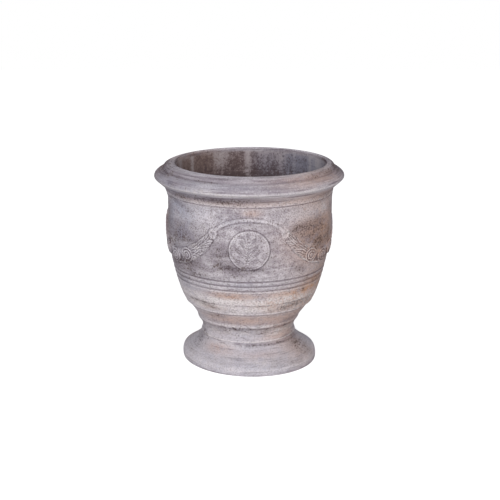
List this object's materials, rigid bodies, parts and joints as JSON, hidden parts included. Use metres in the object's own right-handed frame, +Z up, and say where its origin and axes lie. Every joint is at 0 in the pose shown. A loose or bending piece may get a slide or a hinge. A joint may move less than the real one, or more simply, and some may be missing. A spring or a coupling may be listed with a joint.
{
  "type": "garden urn",
  "caption": "Footed planter urn in limewashed terracotta with a full rounded rim, garlands and medallions applied on the wall, and a drained bowl.",
  "frame": {"origin": "centre of the foot's standing face, on the ground", "axes": "+Z up along the axis of the urn, -Y towards the medallion that faces the viewer"},
  "size_m": [0.4512, 0.4512, 0.482],
  "materials": {
    "foot_clay": "matte",
    "bowl_clay": "matte",
    "rim_clay": "matte",
    "medallion_slip": "matte",
    "ribbon_slip": "matte",
    "swag_slip": "matte",
    "knot_slip": "matte",
    "rosette_slip": "matte"
  },
  "bodies": {
    "root": {"foot": "foot_clay", "bowl": "bowl_clay", "rim": "rim_clay", "medallion_1": "medallion_slip", "medallion_2": "medallion_slip", "medallion_3": "medallion_slip", "arch_ribbon_1": "ribbon_slip", "arch_ribbon_2": "ribbon_slip", "arch_ribbon_3": "ribbon_slip", "swag_1": "swag_slip", "swag_2": "swag_slip", "swag_3": "swag_slip", "knot_1": "knot_slip", "knot_2": "knot_slip", "knot_3": "knot_slip", "knot_4": "knot_slip", "knot_5": "knot_slip", "knot_6": "knot_slip", "rosette_1": "rosette_slip", "rosette_2": "rosette_slip", "rosette_3": "rosette_slip", "rosette_4": "rosette_slip", "rosette_5": "rosette_slip", "rosette_6": "rosette_slip", "rosette_7": "rosette_slip", "rosette_8": "rosette_slip", "rosette_9": "rosette_slip"}
  },
  "joints": []
}
